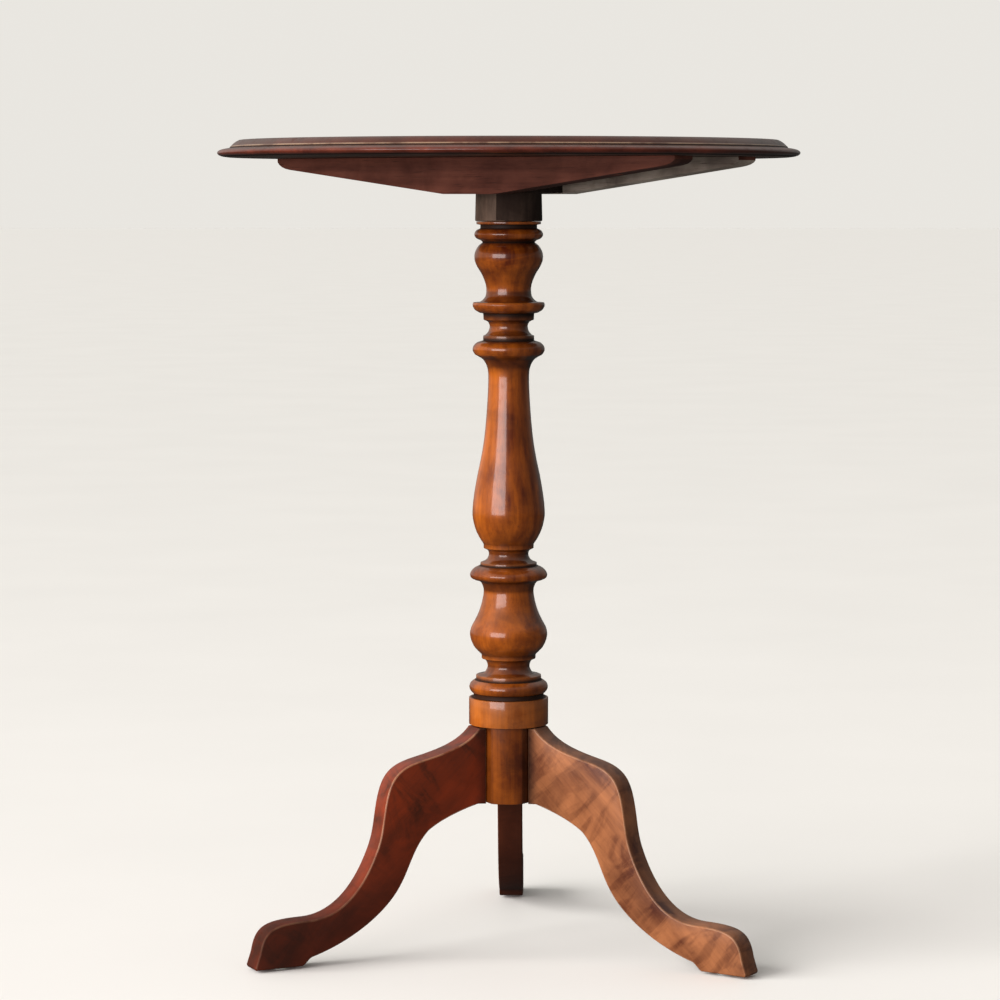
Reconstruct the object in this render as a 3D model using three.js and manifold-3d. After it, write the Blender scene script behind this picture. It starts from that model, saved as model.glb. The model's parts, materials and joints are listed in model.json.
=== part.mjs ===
// Tilt top table: a round top on two bearers that pivot on a block at the head of a turned pillar,
// with three S-curved legs dovetailed into the pillar's foot.
// Millimetres, +Z up. The origin is on the floor, on the pillar's axis.
import * as THREE from 'three';
import { mergeVertices } from 'three/addons/utils/BufferGeometryUtils.js';
import Module from 'manifold-3d';

const wasm = await Module();
wasm.setup();

// ---- driving dimensions ----
const HEIGHT = 716;
const TOP_RADIUS = 255.5;
const TOP_THICKNESS = 15;
const BEARER_HEADING = -37;
const LEG_HEADINGS = { left: -154, right: -33, back: 89 };
const LEG_THICKNESS = 22.5;
const FOOT_RADIUS = 248;
const LEG_ROOT = 131;
const FOOT_HEEL = 204;
const GAP = 0.3;

// the tilting parts, in a frame whose +X runs along the bearers
const UNDERSIDE = HEIGHT - TOP_THICKNESS;
const BEARER_THICKNESS = 27;
const BEARER_INNER = 35;
const BEARER_DEPTH = 32;
const BEARER_LEFT = -213.5;
const BEARER_RIGHT = 217;
const BEARER_FLAT_LEFT = -25;
const BEARER_FLAT_RIGHT = 29;
const BEARER_TIP_LEFT = 10;
const BEARER_TIP_RIGHT = 8.6;
const PIVOT_X = 12;
const PIVOT_DROP = 22;
const PIVOT_Z = UNDERSIDE - PIVOT_DROP;
const PIN_RADIUS = 5;
const PIN_PLAY = 0.5;
const PIN_IN_BEARER = 19;
const PIN_IN_BLOCK = 16;

// the block
const BLOCK_HALF_WIDTH = 34.3;
const BLOCK_BACK = -34;
const BLOCK_TOP = UNDERSIDE - 0.6;
const BLOCK_CORNER = PIVOT_DROP - 0.7;
const BLOCK_SHOULDER = 670;
const BLOCK_NECK_RADIUS = 29.8;

// the pillar
const PILLAR_HEAD = 645;
const TENON_RADIUS = 16;
const TENON_TOP = BLOCK_TOP - 0.6;
const KERF_WIDTH = 3.2;
const KERF_DEPTH = 26;
const HUB_TOP = 199.8;
const HUB_BOTTOM = 132;
const HUB_RADIUS = 33.5;
const HUB_FLAT = 27;
const COLLAR_RADIUS = 35.2;

// the dovetails that hold the legs
const TAIL_NECK = 10;
const TAIL_WIDTH = 15;
const TAIL_DEPTH = 12;
const TAIL_BOTTOM = HUB_BOTTOM + 2;
const TAIL_HEIGHT = 56;

// the glides
const GLIDE_RADIUS = 6.5;
const GLIDE_HEIGHT = 2;
const GLIDE_PLACE = 221;

// the catch
const CATCH_X = -66;
const CATCH_LENGTH = 46;
const CATCH_WIDTH = 24;
const CATCH_DEPTH = 11;
const CATCH_WALL = 1.6;
const BOLT_WIDTH = 9;
const BOLT_DEPTH = 5;
const BOLT_TRAVEL = 6;
const BOLT_TOP = UNDERSIDE - 3.2;
const STRIKE_THICKNESS = 1.6;

// smoothness
const TURN_STEPS = 24;
const TOP_STEPS = 64;
const SMALL_STEPS = 16;

// ---- materials ----
function material(color, roughness, metalness = 0) {
  return new THREE.MeshStandardMaterial({ color, roughness, metalness });
}

const finishes = {
  topWood: () => material(0x5a2a1c, 0.35),
  bearerWood: () => material(0x6b3a28, 0.6),
  blockWood: () => material(0x4a3226, 0.7),
  pillarWood: () => material(0x9a4d20, 0.3),
  legWood: () => material(0x7a3a1e, 0.4),
  brass: () => material(0xa8843c, 0.4, 0.9),
  steel: () => material(0x8a8a88, 0.4, 0.9),
  glide: () => material(0x8f8a82, 0.6),
};

// ---- solids ----
function toSolid(geometry) {
  const bare = geometry.clone();
  bare.deleteAttribute('normal');
  bare.deleteAttribute('uv');
  const merged = mergeVertices(bare, 1e-4);
  const vertProperties = new Float32Array(merged.attributes.position.array);
  const triVerts = new Uint32Array(merged.index.array);
  return new wasm.Manifold(new wasm.Mesh({ numProp: 3, vertProperties, triVerts }));
}

function toGeometry(solid) {
  const mesh = solid.getMesh();
  const geometry = new THREE.BufferGeometry();
  geometry.setAttribute('position', new THREE.BufferAttribute(mesh.vertProperties, 3));
  geometry.setIndex(new THREE.BufferAttribute(mesh.triVerts, 1));
  geometry.computeVertexNormals();
  return geometry;
}

// A turned solid from [radius, height] pairs, with its axis on Z.
function turned(profile, steps) {
  const points = profile.map(([r, z]) => new THREE.Vector2(r, z));
  return new THREE.LatheGeometry(points, steps).rotateX(Math.PI / 2);
}

// A plate whose outline is drawn in X and Z, centred on Y.
function plateXZ(shape, thickness, curveSegments) {
  const settings = { depth: thickness, bevelEnabled: false, curveSegments };
  const geometry = new THREE.ExtrudeGeometry(shape, settings);
  return geometry.rotateX(Math.PI / 2).translate(0, thickness / 2, 0);
}

// A prism whose outline is drawn in X and Y, standing on height z.
function prismXY(shape, height, z, curveSegments = 6) {
  const geometry = new THREE.ExtrudeGeometry(shape, { depth: height, bevelEnabled: false, curveSegments });
  return geometry.translate(0, 0, z);
}

function box(x0, x1, y0, y1, z0, z1) {
  const geometry = new THREE.BoxGeometry(x1 - x0, y1 - y0, z1 - z0);
  return geometry.translate((x0 + x1) / 2, (y0 + y1) / 2, (z0 + z1) / 2);
}

// A cylinder along Z from z0 to z1.
function post(radius, z0, z1, steps = SMALL_STEPS) {
  const geometry = new THREE.CylinderGeometry(radius, radius, z1 - z0, steps);
  return geometry.rotateX(Math.PI / 2).translate(0, 0, (z0 + z1) / 2);
}

// A cylinder along Y from y0 to y1.
function bar(radius, y0, y1, steps = SMALL_STEPS) {
  return new THREE.CylinderGeometry(radius, radius, y1 - y0, steps).translate(0, (y0 + y1) / 2, 0);
}

// A cylinder along X from x0 to x1.
function rodX(radius, x0, x1, steps = SMALL_STEPS) {
  const geometry = new THREE.CylinderGeometry(radius, radius, x1 - x0, steps);
  return geometry.rotateZ(Math.PI / 2).translate((x0 + x1) / 2, 0, 0);
}

function cut(body, ...tools) {
  return tools.reduce((left, tool) => left.subtract(toSolid(tool)), body);
}

function named(name, geometry, finish) {
  const mesh = new THREE.Mesh(geometry, finish());
  mesh.name = name;
  return mesh;
}

// Points on a rounded swelling or hollow between two [radius, height] ends.
function swell(from, to, bulge, steps) {
  const points = [];
  for (let i = 1; i < steps; i += 1) {
    const t = i / steps;
    const radius = from[0] + (to[0] - from[0]) * t + bulge * Math.sin(Math.PI * t);
    points.push([radius, from[1] + (to[1] - from[1]) * t]);
  }
  return points;
}

// ---- table top ----
function topGeometry() {
  const quirk = TOP_RADIUS - 11;
  const field = TOP_RADIUS - 18.6;
  const torusFoot = [TOP_RADIUS - 5, UNDERSIDE + 0.4];
  const torusTop = [TOP_RADIUS - 8.5, UNDERSIDE + 7.7];
  const slopeFoot = [quirk - 0.6, UNDERSIDE + 9.4];
  const slopeTop = [field, HEIGHT - 0.7];
  const profile = [[0, UNDERSIDE], [TOP_RADIUS - 8, UNDERSIDE], torusFoot];
  profile.push(...swell(torusFoot, torusTop, 6.75, 6), torusTop, [quirk, UNDERSIDE + 8.2], slopeFoot);
  profile.push(...swell(slopeFoot, slopeTop, 0.6, 3), slopeTop, [field - 0.9, HEIGHT], [0, HEIGHT]);
  return turned(profile, TOP_STEPS);
}

const topScrewHoles = [];

function tableTop() {
  const holes = topScrewHoles.map(([x, y, radius, depth]) => {
    return post(radius, UNDERSIDE - 1, UNDERSIDE + depth, 10).translate(x, y, 0);
  });
  const bored = cut(toSolid(topGeometry()), ...holes);
  return named('table_top', toGeometry(bored), finishes.topWood);
}

// ---- bearers, their screws and the pivot pins ----
const BEARER_TOP = UNDERSIDE - GAP;
const BEARER_BOTTOM = UNDERSIDE - BEARER_DEPTH;
const SCREW_PLACES = [-150, -62, 150];
const SCREW_RADIUS = 2.2;
const SCREW_HEAD_RADIUS = 4.6;
const SCREW_BITE = 9;

function bearerOutline() {
  const shape = new THREE.Shape();
  shape.moveTo(BEARER_LEFT, BEARER_TOP);
  shape.lineTo(BEARER_LEFT, BEARER_TOP - 3);
  shape.quadraticCurveTo(BEARER_LEFT + 3, BEARER_TOP - 8.5, BEARER_LEFT + 14, BEARER_TOP - BEARER_TIP_LEFT);
  shape.lineTo(BEARER_FLAT_LEFT, BEARER_BOTTOM);
  shape.lineTo(BEARER_FLAT_RIGHT, BEARER_BOTTOM);
  shape.lineTo(BEARER_RIGHT - 14, BEARER_TOP - BEARER_TIP_RIGHT);
  shape.quadraticCurveTo(BEARER_RIGHT - 2, BEARER_TOP - 7, BEARER_RIGHT, BEARER_TOP - 3);
  shape.lineTo(BEARER_RIGHT, BEARER_TOP);
  shape.closePath();
  return shape;
}

// The bearer's lower face at a place along it.
function bearerFloor(x) {
  if (x < BEARER_FLAT_LEFT) {
    const run = BEARER_FLAT_LEFT - BEARER_LEFT - 14;
    return BEARER_BOTTOM + (BEARER_DEPTH - BEARER_TIP_LEFT) * (BEARER_FLAT_LEFT - x) / run;
  }
  if (x > BEARER_FLAT_RIGHT) {
    const run = BEARER_RIGHT - 14 - BEARER_FLAT_RIGHT;
    return BEARER_BOTTOM + (BEARER_DEPTH - BEARER_TIP_RIGHT) * (x - BEARER_FLAT_RIGHT) / run;
  }
  return BEARER_BOTTOM;
}

function bearer(name, side) {
  const middle = side * (BEARER_INNER + BEARER_THICKNESS / 2);
  const blank = toSolid(plateXZ(bearerOutline(), BEARER_THICKNESS, 4).translate(0, middle, 0));
  const inner = side * BEARER_INNER;
  const pinEnd = side * (BEARER_INNER + PIN_IN_BEARER + GAP);
  const pinHole = bar(PIN_RADIUS + GAP, Math.min(inner - side, pinEnd), Math.max(inner - side, pinEnd), 20);
  const holes = [pinHole.translate(PIVOT_X, 0, PIVOT_Z)];
  SCREW_PLACES.forEach((x) => {
    const seat = bearerFloor(x) + 5;
    holes.push(post(SCREW_RADIUS + GAP, seat - 1, BEARER_TOP + 1, 12).translate(x, middle, 0));
    holes.push(post(SCREW_HEAD_RADIUS + GAP, BEARER_BOTTOM - 1, seat, 14).translate(x, middle, 0));
  });
  return named(name, toGeometry(cut(blank, ...holes)), finishes.bearerWood);
}

function bearerScrew(name, x, side) {
  const middle = side * (BEARER_INNER + BEARER_THICKNESS / 2);
  const seat = bearerFloor(x) + 5 - GAP;
  const head = seat - 3;
  const tip = UNDERSIDE + SCREW_BITE;
  const profile = [[0, head], [SCREW_HEAD_RADIUS, head], [SCREW_HEAD_RADIUS, seat - 0.4]];
  profile.push([SCREW_RADIUS, seat], [SCREW_RADIUS, tip - 3], [0, tip]);
  const slot = box(-SCREW_HEAD_RADIUS - 1, SCREW_HEAD_RADIUS + 1, -0.6, 0.6, head - 1, head + 1.2);
  const screw = cut(toSolid(turned(profile, 12)), slot);
  topScrewHoles.push([x, middle, SCREW_RADIUS + GAP, SCREW_BITE + GAP]);
  return named(name, toGeometry(screw).translate(x, middle, 0), finishes.steel);
}

function pivotPin(name, side) {
  const outer = side * (BEARER_INNER + PIN_IN_BEARER);
  const inner = side * (BLOCK_HALF_WIDTH - PIN_IN_BLOCK);
  const pin = bar(PIN_RADIUS, Math.min(outer, inner), Math.max(outer, inner), 20);
  return named(name, pin.translate(PIVOT_X, 0, PIVOT_Z), finishes.steel);
}

// ---- block ----
const STRIKE_Z = BOLT_TOP - BOLT_DEPTH / 2;
const STRIKE_HALF = 13;
const STRIKE_LOW = STRIKE_Z - 15;
const STRIKE_HIGH = BLOCK_TOP - 0.6;
const STRIKE_SCREW_Z = STRIKE_LOW + 4.5;
const STRIKE_SCREW_Y = 8;
const STRIKE_SCREW_RADIUS = 1.4;

function blockOutline() {
  const shape = new THREE.Shape();
  shape.moveTo(BLOCK_BACK, BLOCK_SHOULDER);
  shape.lineTo(PIVOT_X + BLOCK_CORNER, BLOCK_SHOULDER);
  shape.lineTo(PIVOT_X + BLOCK_CORNER, PIVOT_Z);
  shape.absarc(PIVOT_X, PIVOT_Z, BLOCK_CORNER, 0, Math.PI / 2, false);
  shape.lineTo(PIVOT_X, BLOCK_TOP);
  shape.lineTo(BLOCK_BACK, BLOCK_TOP);
  shape.closePath();
  return shape;
}

function pillarBlock() {
  const head = toSolid(plateXZ(blockOutline(), 2 * BLOCK_HALF_WIDTH, 8));
  const foot = PILLAR_HEAD + GAP;
  const neck = turned([
    [0, foot], [BLOCK_NECK_RADIUS - 0.8, foot], [BLOCK_NECK_RADIUS, foot + 0.8],
    [BLOCK_NECK_RADIUS - 0.6, BLOCK_SHOULDER + 1], [0, BLOCK_SHOULDER + 1],
  ], TURN_STEPS);
  const joined = head.add(toSolid(neck));
  const mortise = post(TENON_RADIUS + GAP, foot - 1, BLOCK_TOP + 1, 28);
  const holes = [-1, 1].map((side) => {
    const inner = side * (BLOCK_HALF_WIDTH - PIN_IN_BLOCK - 1);
    const outer = side * (BLOCK_HALF_WIDTH + 1);
    const hole = bar(PIN_RADIUS + PIN_PLAY, Math.min(inner, outer), Math.max(inner, outer), 20);
    return hole.translate(PIVOT_X, 0, PIVOT_Z);
  });
  const recess = box(BLOCK_BACK - 1, BLOCK_BACK + STRIKE_THICKNESS + GAP,
    -STRIKE_HALF - GAP, STRIKE_HALF + GAP, STRIKE_LOW - GAP, BLOCK_TOP + 1);
  const pocketHalf = BOLT_WIDTH / 2 + 1;
  const pocket = box(BLOCK_BACK - 1, BLOCK_BACK + STRIKE_THICKNESS + 8,
    -pocketHalf, pocketHalf, STRIKE_Z - BOLT_DEPTH / 2 - 1, STRIKE_Z + BOLT_DEPTH / 2 + 1);
  const pilots = [-1, 1].map((side) => {
    const pilot = rodX(STRIKE_SCREW_RADIUS + GAP, BLOCK_BACK - 1, BLOCK_BACK + 11, 10);
    return pilot.translate(0, side * STRIKE_SCREW_Y, STRIKE_SCREW_Z);
  });
  const block = cut(joined, mortise, ...holes, recess, pocket, ...pilots);
  return named('pillar_block', toGeometry(block), finishes.blockWood);
}

function strikePlate() {
  const front = BLOCK_BACK;
  const back = front + STRIKE_THICKNESS;
  const plate = toSolid(box(front, back, -STRIKE_HALF, STRIKE_HALF, STRIKE_LOW, STRIKE_HIGH));
  const windowHalf = BOLT_WIDTH / 2 + 0.8;
  const opening = box(front - 1, front + STRIKE_THICKNESS + 1, -windowHalf, windowHalf,
    STRIKE_Z - BOLT_DEPTH / 2 - 0.8, STRIKE_Z + BOLT_DEPTH / 2 + 0.8);
  const holes = [-1, 1].map((side) => {
    const hole = rodX(STRIKE_SCREW_RADIUS + GAP, front - 1, front + STRIKE_THICKNESS + 1, 12);
    return hole.translate(0, side * STRIKE_SCREW_Y, STRIKE_SCREW_Z);
  });
  return named('strike_plate', toGeometry(cut(plate, opening, ...holes)), finishes.brass);
}

function strikeScrew(name, side) {
  const head = BLOCK_BACK - GAP;
  const profile = [[0, -1.1], [1.6, -0.9], [2.6, 0], [STRIKE_SCREW_RADIUS, 0]];
  profile.push([STRIKE_SCREW_RADIUS, 8], [0, 9.5]);
  const screw = turned(profile, 12).rotateY(Math.PI / 2);
  return named(name, screw.translate(head, side * STRIKE_SCREW_Y, STRIKE_SCREW_Z), finishes.brass);
}

function blockWedge() {
  const top = TENON_TOP;
  const foot = TENON_TOP - KERF_DEPTH + 3;
  const shape = new THREE.Shape();
  shape.moveTo(-0.7, foot);
  shape.lineTo(0.7, foot);
  shape.lineTo(KERF_WIDTH / 2 - GAP, top);
  shape.lineTo(-KERF_WIDTH / 2 + GAP, top);
  shape.closePath();
  return named('block_wedge', plateXZ(shape, 2 * TENON_RADIUS - 2, 1), finishes.pillarWood);
}

// ---- pillar ----
// Radii and heights of the turning, from the hub's foot to the head.
function pillarProfile() {
  const profile = [[0, HUB_BOTTOM], [HUB_RADIUS - 2, HUB_BOTTOM], [HUB_RADIUS, HUB_BOTTOM + 2]];
  const follow = (from, to, bulge, steps) => profile.push(...swell(from, to, bulge, steps), to);
  const step = (...points) => profile.push(...points);
  step([HUB_RADIUS, HUB_TOP], [COLLAR_RADIUS, HUB_TOP + 0.5], [COLLAR_RADIUS, 222.6]);
  step([34, 223.6], [31, 223.6], [31, 226.6]);
  step([33.6, 228.1]);
  follow([33.6, 228.1], [32, 238.1], 2.2, 4);
  step([28.8, 239.6], [28.8, 243.5], [22.4, 244.5]);
  follow([22.4, 244.5], [24, 257], -4.6, 4);
  step([24, 261.4], [25.2, 261.9]);
  follow([25.2, 261.9], [25.8, 305.7], 9.6, 10);
  follow([25.8, 305.7], [26, 330], -3.8, 5);
  step([30, 331]);
  follow([30, 331], [27.6, 341.5], 4.9, 4);
  step([24.8, 342.1], [24.8, 344.5]);
  follow([24.8, 344.5], [22.3, 355.9], -4.8, 4);
  step([22.3, 360.9], [24.3, 362.3]);
  follow([24.3, 362.3], [29.6, 414.1], 5.6, 9);
  follow([29.6, 414.1], [18.5, 485.6], -1.7, 6);
  follow([18.5, 485.6], [22, 520.9], -1.8, 4);
  follow([22, 520.9], [31.3, 531.4], -0.9, 3);
  follow([31.3, 531.4], [27, 539.8], 2.2, 4);
  step([22.4, 540.3], [22.4, 545.1], [20.2, 545.6]);
  follow([20.2, 545.6], [17.2, 557.2], -2, 3);
  step([22.4, 559.2], [22.4, 563.7], [26, 564.7]);
  follow([26, 564.7], [31.6, 573.6], 1.6, 4);
  step([26, 574.5], [23.4, 576.6]);
  follow([23.4, 576.6], [22, 598.5], -3.2, 5);
  follow([22, 598.5], [22.6, 625.8], 8, 7);
  step([22.4, 628.8]);
  follow([22.4, 628.8], [24.9, 639.3], 7.4, 5);
  step([24.9, 642.2], [28.6, 642.9], [28.6, PILLAR_HEAD], [TENON_RADIUS, PILLAR_HEAD]);
  step([TENON_RADIUS, TENON_TOP], [0, TENON_TOP]);
  return profile;
}

function dovetail(extra) {
  const inner = HUB_FLAT - TAIL_DEPTH - extra;
  const shape = new THREE.Shape();
  shape.moveTo(inner, -TAIL_WIDTH / 2 - extra);
  shape.lineTo(HUB_FLAT + 1, -TAIL_NECK / 2 - extra);
  shape.lineTo(HUB_FLAT + 1, TAIL_NECK / 2 + extra);
  shape.lineTo(inner, TAIL_WIDTH / 2 + extra);
  shape.closePath();
  return shape;
}

function pillar() {
  const kerf = box(-KERF_WIDTH / 2, KERF_WIDTH / 2, -TENON_RADIUS - 1, TENON_RADIUS + 1,
    TENON_TOP - KERF_DEPTH, TENON_TOP + 1);
  const cuts = [kerf];
  Object.values(LEG_HEADINGS).forEach((degrees) => {
    const angle = THREE.MathUtils.degToRad(degrees - BEARER_HEADING);
    const flat = box(HUB_FLAT, HUB_FLAT + 20, -LEG_THICKNESS, LEG_THICKNESS, HUB_BOTTOM - 1, HUB_TOP);
    const housing = prismXY(dovetail(GAP), TAIL_HEIGHT + TAIL_BOTTOM - HUB_BOTTOM + 2, HUB_BOTTOM - 1);
    cuts.push(flat.rotateZ(angle), housing.rotateZ(angle));
  });
  const body = cut(toSolid(turned(pillarProfile(), TURN_STEPS)), ...cuts);
  return named('pillar', toGeometry(body), finishes.pillarWood);
}

// ---- legs ----
function legOutline() {
  const foot = GLIDE_HEIGHT + GAP;
  const shoulder = HUB_FLAT + GAP;
  const shape = new THREE.Shape();
  shape.moveTo(shoulder, LEG_ROOT);
  shape.lineTo(shoulder, HUB_TOP - 1);
  shape.lineTo(shoulder + 7, HUB_TOP - 1);
  shape.bezierCurveTo(46, 184, 68, 179, 90, 174);
  shape.bezierCurveTo(112, 169, 119, 161, 123.5, 143);
  shape.bezierCurveTo(128, 124, 127, 112, 134, 96);
  shape.bezierCurveTo(148, 62, 169, 42.5, 196, 41.8);
  shape.bezierCurveTo(231, 41.5, 240, 38, 244, 16);
  shape.lineTo(FOOT_RADIUS, foot + 2);
  shape.lineTo(FOOT_RADIUS - 1, foot);
  shape.lineTo(FOOT_HEEL, foot);
  shape.lineTo(FOOT_HEEL - 9, foot + 7);
  shape.bezierCurveTo(163, 18, 128, 38, 112, 63);
  shape.bezierCurveTo(101, 80, 99, 96, 84, 111);
  shape.bezierCurveTo(74, 119, 53, 127, shoulder + 8, LEG_ROOT + 0.5);
  shape.closePath();
  return shape;
}

function legGeometry() {
  const blade = toSolid(plateXZ(legOutline(), LEG_THICKNESS, 7));
  const tail = toSolid(prismXY(dovetail(0), TAIL_HEIGHT, TAIL_BOTTOM));
  return toGeometry(blade.add(tail));
}

function leg(side) {
  const mesh = named(`leg_${side}`, legGeometry(), finishes.legWood);
  mesh.rotation.z = THREE.MathUtils.degToRad(LEG_HEADINGS[side]);
  return mesh;
}

function glide(side) {
  const profile = [[0, 0], [GLIDE_RADIUS - 0.8, 0], [GLIDE_RADIUS, 0.8], [GLIDE_RADIUS, GLIDE_HEIGHT]];
  profile.push([0, GLIDE_HEIGHT]);
  const mesh = named(`glide_${side}`, turned(profile, 24), finishes.glide);
  const heading = THREE.MathUtils.degToRad(LEG_HEADINGS[side]);
  mesh.position.set(GLIDE_PLACE * Math.cos(heading), GLIDE_PLACE * Math.sin(heading), 0);
  return mesh;
}

// ---- catch ----
const CASE_TOP = UNDERSIDE - GAP;
const CASE_FRONT = CATCH_X + CATCH_LENGTH / 2;
const CASE_REAR = CATCH_X - CATCH_LENGTH / 2;
const FLANGE_THICKNESS = 1.4;
const FLANGE_REACH = 7;
const KNOB_X = CATCH_X - 4;
const BOLT_REAR = KNOB_X - 7;
const BOLT_NOSE = BLOCK_BACK - 2;
const CATCH_SCREW_X = 14;
const CATCH_SCREW_Y = CATCH_WIDTH / 2 + FLANGE_REACH / 2;
const CATCH_SCREW_RADIUS = 1.4;

function latchCase() {
  const half = CATCH_WIDTH / 2;
  const flange = box(CASE_REAR, CASE_FRONT, -half - FLANGE_REACH, half + FLANGE_REACH,
    CASE_TOP - FLANGE_THICKNESS, CASE_TOP);
  const shell = box(CASE_REAR, CASE_FRONT, -half, half, CASE_TOP - CATCH_DEPTH, CASE_TOP);
  const cavity = box(CASE_REAR + CATCH_WALL, CASE_FRONT - CATCH_WALL, -half + CATCH_WALL, half - CATCH_WALL,
    CASE_TOP - CATCH_DEPTH + CATCH_WALL, CASE_TOP + 1);
  const mouthHalf = BOLT_WIDTH / 2 + 0.4;
  const mouth = box(CASE_FRONT - CATCH_WALL - 1, CASE_FRONT + 1, -mouthHalf, mouthHalf,
    BOLT_TOP - BOLT_DEPTH - 0.4, BOLT_TOP + 0.4);
  const slot = box(KNOB_X - 3, KNOB_X + BOLT_TRAVEL + 3, -2.8, 2.8,
    CASE_TOP - CATCH_DEPTH - 1, CASE_TOP - CATCH_DEPTH + CATCH_WALL + 1);
  const holes = [];
  [-1, 1].forEach((end) => [-1, 1].forEach((side) => {
    const hole = post(CATCH_SCREW_RADIUS + GAP, CASE_TOP - 3, CASE_TOP + 1, 10);
    holes.push(hole.translate(CATCH_X + end * CATCH_SCREW_X, side * CATCH_SCREW_Y, 0));
  }));
  const body = cut(toSolid(flange).add(toSolid(shell)), cavity, mouth, slot, ...holes);
  return named('latch_case', toGeometry(body), finishes.brass);
}

function latchScrew(name, end, side) {
  const x = CATCH_X + end * CATCH_SCREW_X;
  const y = side * CATCH_SCREW_Y;
  const seat = CASE_TOP - FLANGE_THICKNESS - GAP;
  const profile = [[0, seat - 1.2], [1.7, seat - 1], [2.7, seat], [CATCH_SCREW_RADIUS, seat]];
  profile.push([CATCH_SCREW_RADIUS, UNDERSIDE + 6], [0, UNDERSIDE + 7.5]);
  topScrewHoles.push([x, y, CATCH_SCREW_RADIUS + GAP, 8]);
  return named(name, turned(profile, 10).translate(x, y, 0), finishes.brass);
}

function latchBolt() {
  const half = BOLT_WIDTH / 2;
  const shape = new THREE.Shape();
  shape.moveTo(BOLT_REAR, BOLT_TOP - BOLT_DEPTH);
  shape.lineTo(BOLT_NOSE - 3, BOLT_TOP - BOLT_DEPTH);
  shape.lineTo(BOLT_NOSE, BOLT_TOP - BOLT_DEPTH + 2.4);
  shape.lineTo(BOLT_NOSE, BOLT_TOP);
  shape.lineTo(BOLT_REAR, BOLT_TOP);
  shape.closePath();
  const strip = toSolid(plateXZ(shape, 2 * half, 1));
  const hole = post(1.5 + GAP, BOLT_TOP - BOLT_DEPTH - 1, BOLT_TOP + 1, 12).translate(KNOB_X, 0, 0);
  return named('latch_bolt', toGeometry(cut(strip, hole)), finishes.brass);
}

function latchKnob() {
  const caseFoot = CASE_TOP - CATCH_DEPTH;
  const under = BOLT_TOP - BOLT_DEPTH - GAP;
  const profile = [[0, caseFoot - 9.5]];
  profile.push(...swell([0.6, caseFoot - 9.5], [2, caseFoot - 3], 4.6, 6));
  profile.push([2, caseFoot - 3], [2, under], [1.5, under], [1.5, BOLT_TOP - 0.3], [0, BOLT_TOP - 0.3]);
  return named('latch_knob', turned(profile, 18).translate(KNOB_X, 0, 0), finishes.brass);
}

// The spring is a coil between the case's rear wall and the bolt.
function latchSpring() {
  const start = CASE_REAR + CATCH_WALL + 0.6;
  const finish = BOLT_REAR - 0.6;
  const coils = 4;
  class Coil extends THREE.Curve {
    getPoint(t, target = new THREE.Vector3()) {
      const angle = 2 * Math.PI * coils * t;
      return target.set(start + (finish - start) * t, 1.9 * Math.cos(angle), 1.9 * Math.sin(angle));
    }
  }
  const wire = new THREE.Shape().absarc(0, 0, 0.35, 0, 2 * Math.PI, false);
  const options = { extrudePath: new Coil(), steps: coils * 8, curveSegments: 2, bevelEnabled: false };
  const coil = new THREE.ExtrudeGeometry(wire, options);
  return named('latch_spring', coil.translate(0, 0, BOLT_TOP - BOLT_DEPTH / 2), finishes.steel);
}

// ---- assembly ----
const group = new THREE.Group();
const alongBearers = new THREE.Group();
alongBearers.rotation.z = THREE.MathUtils.degToRad(BEARER_HEADING);
group.add(alongBearers);

const sides = { near: -1, far: 1 };
Object.entries(sides).forEach(([word, side]) => {
  alongBearers.add(bearer(`bearer_${word}`, side), pivotPin(`pivot_pin_${word}`, side));
  SCREW_PLACES.forEach((x, i) => alongBearers.add(bearerScrew(`bearer_screw_${word}_${i + 1}`, x, side)));
});

[[-1, -1], [-1, 1], [1, -1], [1, 1]].forEach(([end, side], i) => {
  alongBearers.add(latchScrew(`latch_screw_${i + 1}`, end, side));
});
alongBearers.add(latchCase(), latchBolt(), latchKnob(), latchSpring());
alongBearers.add(tableTop());
alongBearers.add(pillarBlock(), strikePlate());
alongBearers.add(strikeScrew('strike_screw_1', -1), strikeScrew('strike_screw_2', 1));
alongBearers.add(blockWedge(), pillar());

Object.keys(LEG_HEADINGS).forEach((side) => group.add(leg(side), glide(side)));

export default group;
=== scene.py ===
"""Looks for the tilt top table: turned, moulded and shaped timber with aged polish, and its brass catch."""
import json
import math

import bmesh
import bpy
from mathutils import Matrix, Vector, geometry


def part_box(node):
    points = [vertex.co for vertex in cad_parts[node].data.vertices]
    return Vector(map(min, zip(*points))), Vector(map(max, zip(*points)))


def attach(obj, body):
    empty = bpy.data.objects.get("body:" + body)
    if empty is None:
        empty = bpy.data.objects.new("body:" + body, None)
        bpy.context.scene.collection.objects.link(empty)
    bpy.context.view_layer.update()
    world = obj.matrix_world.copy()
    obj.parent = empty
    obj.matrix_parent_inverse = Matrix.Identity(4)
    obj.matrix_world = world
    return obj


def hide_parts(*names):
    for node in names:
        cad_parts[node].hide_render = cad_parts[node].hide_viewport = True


bl_info = {
    "name": "Tilt Top Table",
    "version": (1, 0, 0),
    "blender": (4, 5, 0),
    "location": "3D View > Sidebar > Table",
    "description": "Builds a tilt top table around its packed frame",
    "category": "Add Mesh",
}

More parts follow.
